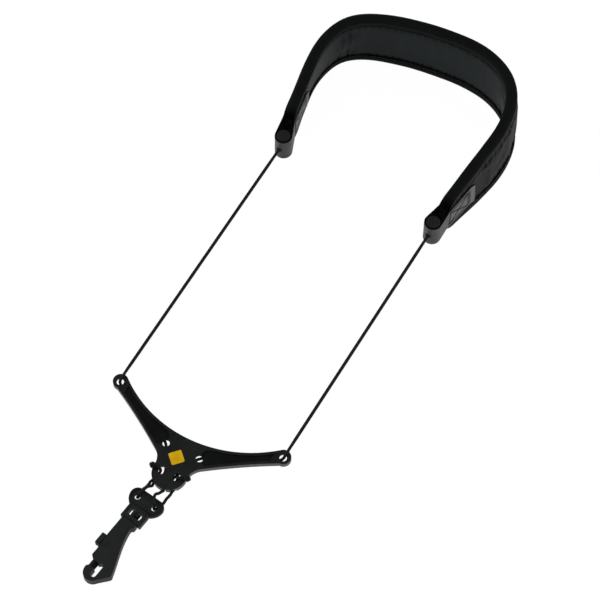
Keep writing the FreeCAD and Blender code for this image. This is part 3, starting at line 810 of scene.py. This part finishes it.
def make_tab(side):
    """The folded webbing with its woven edges, drawn in along the seams; black on its edges, black inside as
    painted shade, and painted light and shade over its outer face.
    """
    rows, count = 25, 300
    z0 = END_Z - WEB_W / 2
    across = np.linspace(0.012, 0.988, rows)
    ring = [(1, f) for f in across] + [(0.6, 0.997), (0, 1.0), (-0.6, 0.997)]
    ring += [(-1, f) for f in across[::-1]] + [(-0.6, 0.003), (0, 0.0), (0.6, 0.003)]
    m = len(ring)
    lines = {}
    for _, f in ring:
        key = round(f, 4)
        if key not in lines:
            lines[key] = tab_line(side, z0 + f * WEB_W, count)
    middle = lines[round(across[rows // 2], 4)][0]
    run = travel(middle)
    whole = run[-1]
    verts, uv, shade = [], [], []
    for i in range(count):
        from_tail = min(run[i], whole - run[i])
        length = LEG_OUTER if run[i] < whole / 2 else LEG_INNER
        d = length - from_tail
        on_leg = unit(d / 6.0)
        for o, f in ring:
            pts, nrm = lines[round(f, 4)]
            h = f * WEB_W
            rib = 0.07 * sin(2 * pi * run[i] / 1.3) * sin(2 * pi * h / 1.1)
            puff = 0.0
            if d > 0:
                puff = -0.42 * bell(seam_gap(d, h), 0, 1.0) + 0.30 * sin(pi * f) * on_leg
            slack = 0.18 * sin(run[i] / 6.1 + 2.4 * f) * sin(pi * f)
            thick = WEB_T / 2 - 0.05
            if o > 0:
                off = o * thick + rib + max(puff, -0.5) + slack
            else:
                off = o * thick + min(0.0, puff) * 0.1
            p = pts[i] + nrm[i] * off
            fray = 0.16 * sin(h * 5.1 + PHASE[side]) if i in (0, count - 1) else 0.0
            verts.append((p[0] + fray * 0.6, p[1] + fray, z0 + h))
            uv.append((run[i], h + (40 if o < 0 else 0)))
            # painted light and shade: the loop round the dowel darker than the legs, painted shade along the
            # sewn seams, lighter towards the top edge and at the tail end
            tone = 0.52 + 0.74 * unit((d + 1.0) / 7.0)
            if d > 0:
                tone *= 1 - 0.94 * bell(seam_gap(d, h), 0, 1.25)
                tone *= 0.82 + 0.36 * f
            tone *= 1 + 0.3 * unit((d - 29.0) / 4.0)
            # painted shade on the inner side
            shade.append(tone * (1.0 if o > 0 else 0.35))
    obj = make_mesh(side + "_webbing", verts, closed_faces(count, m), uv=uv, shade=shade)
    obj.data.materials.append(MATS["webbing"])
    obj.data.materials.append(MATS["web_edge_and_shade"])
    # the edges and the inner side take the black edge material; on the inner side it is painted shade
    black = [len(f.vertices) == 4 and min(v % m for v in f.vertices) >= rows - 1 for f in obj.data.polygons]
    obj.data.polygons.foreach_set("material_index", [int(edge) for edge in black])
    place(obj, "webbing", "pad", side + "_end_tab")


def smooth_line(points):
    """Catmull-Rom through the points, finely sampled."""
    p = np.asarray(points, float)
    keep = [0] + [i for i in range(1, len(p)) if np.linalg.norm(p[i] - p[i - 1]) > 1e-4]
    p = p[keep]
    ext = np.vstack([2 * p[0] - p[1], p, 2 * p[-1] - p[-2]])
    out = []
    for i in range(1, len(ext) - 2):
        a, b, c, d = ext[i - 1:i + 3]
        ta, tb, tc = (max(np.linalg.norm(v), 1e-6) ** 0.5 for v in (b - a, c - b, d - c))
        m1 = (b - a) / ta - (c - a) / (ta + tb) + (c - b) / tb
        m2 = (c - b) / tb - (d - b) / (tb + tc) + (d - c) / tc
        m1, m2 = m1 * tb, m2 * tb
        steps = max(2, int(np.linalg.norm(c - b) / 0.25))
        for t in np.linspace(0, 1, steps, endpoint=False):
            t2, t3 = t * t, t * t * t
            out.append((2 * t3 - 3 * t2 + 1) * b + (t3 - 2 * t2 + t) * m1
                       + (3 * t2 - 2 * t3) * c + (t3 - t2) * m2)
    out.append(p[-1])
    return np.array(out)


def tab_stitches(side):
    """Thread of the box and cross seam, on both faces."""
    to_end, sgn = PAD_END[side]
    spans = []
    for face in (1, -1):
        for (d0, h0), (d1, h1) in SEAMS:
            n = max(2, int(hypot(d1 - d0, h1 - h0) / 2.6))
            for k in range(n):
                f0, f1 = (k + 0.08) / n, (k + 0.90) / n
                s0, s1 = (to_end + sgn * (d0 + (d1 - d0) * f) / PAD_LEN for f in (f0, f1))
                z0, z1 = (END_Z - WEB_W / 2 + h0 + (h1 - h0) * f for f in (f0, f1))
                spans.append(on_pad(s0, z0, s1, z1, LEG_AT + WEB_T - 0.22, face))
    place(capsules(side + "_tab_seam", spans, 0.38, "thread"), "webbing", "pad")


def exit_lip(side):
    """The black worked eyelet where the cord leaves the webbing."""
    at = EXITS[side] + DIR * 0.15
    flat = np.cross(DIR, UP)
    verts, uv = [], []
    rows, ring = 36, 10
    for i in range(rows):
        a = 2 * pi * i / rows
        lump = 1 + 0.16 * sin(5 * a + PHASE[side]) + 0.08 * sin(11 * a)
        spread = UP * sin(a) * 1.55 + flat * cos(a) * 2.0
        bend = DIR * (0.13 * (spread @ flat) ** 2)
        out = spread / np.linalg.norm(spread)
        for j in range(ring):
            w = 2 * pi * j / ring
            r = 0.62 * lump
            verts.append(at + spread + bend + (out * cos(w) - DIR * sin(w) * 0.8) * r)
            uv.append((a * 1.6, w * r))
    obj = make_mesh(side + "_exit_lip", verts, grid_faces(rows, ring, wrap_rows=True, wrap_cols=True), uv=uv)
    place(paint(obj, "thread"), "cord", "pad")


# ------------------------------------------------------------------ cords
BRAID_PITCH = 5.2


def hook_point(x, y, z):
    """A point of the hook's own frame, laid where the hook lies."""
    c, s = cos(HOOK_TILT), sin(HOOK_TILT)
    return np.array([HOOK_ORG[0] + x * c - y * s, HOOK_ORG[1] + x * s + y * c, z])


def frames(points):
    """Two directions square to a path, carried along it without twisting."""
    t = np.gradient(points, axis=0)
    t /= np.linalg.norm(t, axis=1)[:, None]
    side = np.cross(t[0], [0.13, 0.21, 1.0])
    side /= np.linalg.norm(side)
    a = np.zeros_like(points)
    for i in range(len(points)):
        side = side - t[i] * (side @ t[i])
        side /= np.linalg.norm(side)
        a[i] = side
    return a, np.cross(t, a)


def tube(name, points, run0, dirs, slack):
    """Braided cord: eight strands crossing in two directions, as real ridges. run0 carries the pattern on,
    dirs are two directions square to the path, slack is how much fuller the cord is away from its ends."""
    ring = 16
    run = run0 + travel(points)
    a, b = dirs
    verts, uv = [], []
    turn = 2 * pi * 2 / BRAID_PITCH
    from_end = np.minimum(run - run[0], run[-1] - run)
    full = slack * np.clip((from_end - 1.0) / 8.0, 0, 1)
    for i, p in enumerate(points):
        for j in range(ring):
            w = 2 * pi * j / ring
            one = sin(4 * w + turn * run[i])
            two = sin(4 * w - turn * run[i])
            r = CORD_R * (0.90 + 0.13 * max(one, two, -0.2)) + full[i]
            verts.append(p + (a[i] * cos(w) + b[i] * sin(w)) * r)
            uv.append((run[i], w * CORD_R))
    obj = paint(make_mesh(name, verts, closed_faces(len(points), ring), uv=uv), "cord")
    return obj


def cord_path(side):
    """The whole cord of one side as waypoints, with the names of the places where it is divided."""
    s = SIGN[side]
    outer_x, inner_x = LOOP_X[side]
    exit_at = EXITS[side]
    tip = [(s * TIP_X + 0.80, 9.2, 6.9), (s * TIP_X + 0.55, 6.2, 6.3), (s * TIP_X + 0.3, 3.4, 6.05),
           (s * (TIP_X - 0.3), 0.5, 3.8), (s * (TIP_X - 1.9), -1.2, 1.9), (s * (TIP_X - 3.9), -2.2, 1.45),
           (s * (TIP_X - 5.5), -3.0, BACK_Z)]
    start = np.array(tip[0])
    run = exit_at - start
    ahead = run / np.linalg.norm(run)
    marks = {}
    pts = []

    def go(point, mark=None):
        """Adds a waypoint, and notes its place if it is named."""
        if mark:
            marks[mark] = len(pts)
        pts.append(np.array(point, float))

    go(exit_at + DIR * 6.0)
    go(exit_at + DIR * 1.0)
    go(exit_at - ahead * 1.0)
    go(exit_at - ahead * 7.0, "exit_end")
    for f in (0.97, 0.75, 0.5, 0.25, 0.05):
        go(start + run * f * 0.97)
    go(tip[0], "run_end")
    for q in tip[1:-1]:
        go(q)
    go(tip[-1], "tip_end")
    mid = np.array([*MID_CORD[side], BACK_Z])
    low = np.array([s * 4.3, -52.7, BACK_Z])
    first = np.array(tip[-1])
    for f in (0.1, 0.5, 0.93):
        go(first + (mid - first) * f)
    go(mid + (low - mid) * 0.10)
    go(mid + (low - mid) * 0.5)
    go(low)
    go((inner_x - 0.1 * s, -61.0, BACK_Z))
    go((inner_x, FOLD_Y + 2.2, FOLD_Z), "inner_fold")
    go((inner_x, FOLD_Y, FOLD_Z))
    loop = [hook_point(*q) for q in HOOK_IN[side]]
    into = loop[0] - np.array([inner_x, FOLD_Y, FOLD_Z])
    go(np.array([inner_x, FOLD_Y, FOLD_Z]) + into * 0.22, "inner_drop")
    go(np.array([inner_x, FOLD_Y, FOLD_Z]) + into * 0.6 + np.array([0.5 * s, 0, 0]))
    go(loop[0], "plate")
    for q in loop[1:-1]:
        go(q)
    go(loop[-1], "outer_drop")
    back = np.array([outer_x, FOLD_Y, FOLD_Z])
    out = loop[-1] - back
    go(back + out * 0.55 + np.array([-0.3 * s, 0, 0]))
    go(back + out * 0.22, "outer_fold")
    go(back)
    go((outer_x, FOLD_Y + 2.2, FOLD_Z), "return")
    go((s * 9.3, -60.5, 1.3))
    go((s * 8.1, -56.2, BACK_Z))
    go((s * 7.6, -53.7, 3.0))
    go((s * 7.9, -52.8, 5.4))
    go((s * 9.6, -52.7, 6.7))
    go((s * 12.9, -52.4, 6.9))
    return pts, marks


# each cord's pieces: name, the marks where it starts and ends; then how they move and what they stand for
SEGMENTS = [("exit", None, "exit_end"), ("run", "exit_end", "run_end"), ("tip", "run_end", "tip_end"),
            ("back", "tip_end", "inner_fold"), ("inner_fold", "inner_fold", "inner_drop"),
            ("inner_drop", "inner_drop", "plate"), ("plate", "plate", "outer_drop"),
            ("outer_drop", "outer_drop", "outer_fold"), ("outer_fold", "outer_fold", "return"),
            ("return", "return", None)]
BLENDS = {"exit": ("pad", "side_cords"), "run": ("side_cords", "cord_tips"), "tip": ("cord_tips", "yoke"),
          "inner_fold": ("yoke", "drop_cords"), "inner_drop": ("drop_cords", "swivel_plate"),
          "outer_drop": ("drop_cords", "swivel_plate"), "outer_fold": ("yoke", "drop_cords")}
RIDES = {"back": "yoke", "plate": "swivel_plate", "return": "yoke"}
STANDS = {"exit": "dowel_knot", "run": "side_cord", "tip": "tip_bight", "back": "yoke_cord",
          "inner_drop": "inner_drop_cord", "outer_drop": "outer_drop_cord", "plate": "plate_bight",
          "return": "return_cord"}


def make_cord(side):
    """One cord, divided where it passes from body to body."""
    pts, marks = cord_path(side)
    fine = smooth_line(pts)
    # index in the fine line of each waypoint
    where = [int(np.argmin(np.linalg.norm(fine - p, axis=1))) for p in pts]
    run = travel(fine)
    total = int(run[-1] / 0.42)
    want = np.linspace(0, run[-1], total)
    path = np.stack([np.interp(want, run, fine[:, c]) for c in range(3)], axis=1)
    dirs = frames(path)
    cut = {name: int(round(run[where[i]] / run[-1] * (total - 1))) for name, i in marks.items()}
    for name, first, last in SEGMENTS:
        a = cut[first] if first else 0
        b = cut[last] if last else total - 1
        seg = path[a:b + 1]
        obj = tube(f"{side}_cord_{name}", seg, want[a], (dirs[0][a:b + 1], dirs[1][a:b + 1]),
                   CORD_SLACK if name == "run" else 0.0)
        if name in STANDS:
            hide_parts(f"{side}_{STANDS[name]}")
        if name in BLENDS:
            p0, p1 = seg[0] * MM, seg[-1] * MM
            if name in ("outer_drop", "outer_fold"):
                p0, p1 = p1, p0
            if name == "exit":
                p0 = (EXITS[side] + DIR * 0.5) * MM
            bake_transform(obj)
        else:
            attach(obj, RIDES[name])


def knot(name, centre, along, body, size, *nodes):
    """A tight stopper knot: three wraps of the cord drawn into a ball, one strand crossing over them."""
    along, side, up = axes_along(along)
    verts, uv, shade = [], [], []
    rows, ring = 40, 48
    for i in range(rows):
        lat = pi * (i + 0.5) / rows
        for j in range(ring):
            w = 2 * pi * j / ring
            wrap = abs(cos(2.9 * lat + 0.5 * w))
            cross = bell(remainder(w - 0.9 - 0.7 * (lat - 1.57), 2 * pi), 0, 0.42)
            braid = sin(16 * w + 9 * lat) * sin(16 * w - 9 * lat)
            r = size * (0.80 + 0.20 * wrap ** 0.6 * (1 - cross) + 0.24 * cross + 0.02 * braid)
            flat = sin(lat) ** 0.85
            round_it = side * cos(w) + up * sin(w)
            verts.append(centre - along * cos(lat) * r * 0.95 + round_it * r * flat)
            uv.append((lat * size, w * size))
            # painted shade in the crevices between the wraps; the wraps' crowns and the crossing strand stay
            # light
            shade.append(0.35 + 0.65 * max(wrap ** 0.6, cross))
    obj = make_mesh(name, verts, closed_faces(rows, ring), uv=uv, shade=shade)
    place(paint(obj, "cord"), "cord", body, *nodes)


def sealed_end(name, at, along, body):
    """The melted bead at the cut end of a cord."""
    along, side, up = axes_along(along)
    verts, uv = [], []
    rows, ring = 9, 14
    for i in range(rows):
        f = i / (rows - 1)
        r = 1.22 * sqrt(max(0.0, 1 - (2 * f - 1) ** 2)) * (0.95 + 0.08 * sin(9 * f)) + 0.02
        for j in range(ring):
            w = 2 * pi * j / ring
            q = 1 + 0.07 * sin(3 * w + 4 * f)
            verts.append(at + along * (f - 0.3) * 1.9 + (side * cos(w) + up * sin(w)) * r * q)
            uv.append((f * 2, w))
    place(paint(make_mesh(name, verts, closed_faces(rows, ring), uv=uv), "stud"), "cord", body)


def make_knots(side):
    """The stopper knot on the yoke with the cord's sealed end, and the knot hidden behind the dowel."""
    centre = np.array(KNOT_AT[side]) + KNOT_LIFT
    along = np.array([SIGN[side], 0.12, -0.05])
    knot(f"{side}_stopper", centre, along, "yoke", 2.7, f"{side}_stopper_knot")
    along /= np.linalg.norm(along)
    sealed_end(f"{side}_sealed_tip", centre + along * 1.75, along, "yoke")
    knot(f"{side}_hidden_knot", DOWELS[side] + DIR * 4.5, DIR, "pad", 2.0)


def return_spring():
    """The bolt's coil spring, drawn as a fixed helix; the real one shortens towards its seat at the swivel
    stud as the bolt is drawn back.
    """
    turns, wire, coil, low, high = 7, 0.25, 2.7, -41.6, -27.2
    steps = 24 * turns
    path = []
    for i in range(steps + 1):
        a = 2 * pi * turns * i / steps
        along = low + (high - low) * i / steps
        path.append(hook_point(BOLT_X + coil * cos(a), along, HOOK_Z + coil * sin(a)))
    path = np.array(path)
    a, b = frames(path)
    ring = 8
    verts = []
    for i, p in enumerate(path):
        verts += ring_points(p, a[i], b[i], [wire] * ring)
    obj = paint(make_mesh("return_spring", verts, closed_faces(len(path), ring)), "spring")
    place(obj, "spring_steel", "hook", "bolt_spring")
    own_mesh(obj)


pad_cushion()
return_spring()
binding("upper_tape", True)
binding("lower_tape", False)
binding_stitches()
for which in ("left", "right"):
    make_tab(which)
    tab_stitches(which)
    make_cord(which)
    make_knots(which)
    exit_lip(which)

for node_name in CAD_MATS:
    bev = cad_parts[node_name].modifiers.new("soft_edges", "BEVEL")
    bev.width = 0.12 * MM
    bev.segments = 2
    bev.limit_method = "ANGLE"
    bev.angle_limit = radians(40)
    bev.harden_normals = False


# ------------------------------------------------------------------ floor, light, camera
# how bright the sky is to glossy and diffuse rays; it is plain white to the camera
GLOSS_SKY, DIFFUSE_SKY = 0.12, 0.55
FLOOR_SIZE, FLOOR_Z = 3.0, -0.0006      # metres
FLOOR_GLOW = 0.42       # the floor's own light, and what the camera sees of it on top
FLOOR_SEEN = 0.34
FLOOR_CLEAR = 0.9       # share of the floor the camera sees through, so that cords swung below it still show


def floor():
    """A plain pale floor under the object."""
    corners = [(-1, -1), (1, -1), (1, 1), (-1, 1)]
    mesh = bpy.data.meshes.new("floor")
    mesh.from_pydata([(x * FLOOR_SIZE, y * FLOOR_SIZE, FLOOR_Z) for x, y in corners], [], [(0, 1, 2, 3)])
    obj = linked("floor", mesh)
    m, tree, bsdf = nodes_of("pale_floor")
    put(bsdf, Base_Color=(0.5, 0.5, 0.5, 1), Roughness=0.9, Specular_IOR_Level=0.1)
    seen = fresh(tree, "LightPath", "Is Camera Ray")
    glow = plus(tree, times(tree, seen, FLOOR_SEEN), FLOOR_GLOW)
    put(bsdf, Emission_Color=(1, 1, 1, 1), Emission_Strength=glow)
    clear = tree.nodes.new("ShaderNodeBsdfTransparent")
    both = tree.nodes.new("ShaderNodeMixShader")
    tree.links.new(times(tree, seen, FLOOR_CLEAR), both.inputs[0])
    tree.links.new(bsdf.outputs[0], both.inputs[1])
    tree.links.new(clear.outputs[0], both.inputs[2])
    tree.links.new(both.outputs[0], tree.nodes["Material Output"].inputs[0])
    mesh.materials.append(m)


def area(name, at, look, size, power):
    """A round soft lamp at one place, aimed at another."""
    data = bpy.data.lights.new(name, "AREA")
    data.shape = "DISK"
    data.size = size
    data.energy = power
    obj = linked(name, data)
    obj.location = at
    obj.rotation_mode = "QUATERNION"
    obj.rotation_quaternion = (Vector(look) - Vector(at)).to_track_quat("-Z", "Y")


def stage_set():
    """Floor, white sky, two soft lamps, and the camera."""
    floor()
    world = bpy.data.worlds.new("studio")
    world.use_nodes = True
    tree = world.node_tree
    sky = tree.nodes["Background"]
    sky.inputs[0].default_value = (1, 1, 1, 1)
    ray = tree.nodes.new("ShaderNodeLightPath").outputs
    glossy = times(tree, ray["Is Glossy Ray"], GLOSS_SKY)
    diffuse = times(tree, ray["Is Diffuse Ray"], DIFFUSE_SKY)
    strength = plus(tree, ray["Is Camera Ray"], plus(tree, glossy, diffuse))
    tree.links.new(strength, sky.inputs[1])
    bpy.context.scene.world = world
    middle = (0.02, 0.12, 0.0)
    area("key", (-1.5, -0.2, 0.9), middle, 0.8, 9.0)
    area("fill", (1.3, 0.7, 0.7), middle, 0.8, 5.0)
    bpy.context.scene.view_settings.view_transform = "Standard"
    data = bpy.data.cameras.new("camera")
    data.sensor_width = 36.0
    data.lens = 135.0
    data.shift_x, data.shift_y = 0.0026, -0.0012
    data.clip_start, data.clip_end = 0.05, 20
    cam = linked("camera", data)
    right = Vector((0.8910065, 0.4539905, 0.0))
    up = Vector((-0.4008498, 0.7867121, 0.4694716))
    back = Vector((0.2131356, -0.4183022, 0.8829476))
    rot = Matrix((right, up, back)).transposed()
    cam.rotation_mode = "QUATERNION"
    cam.rotation_quaternion = rot.to_quaternion()
    cam.location = (0.4146957, -0.6417360, 1.6393749)
    bpy.context.scene.camera = cam


stage_set()
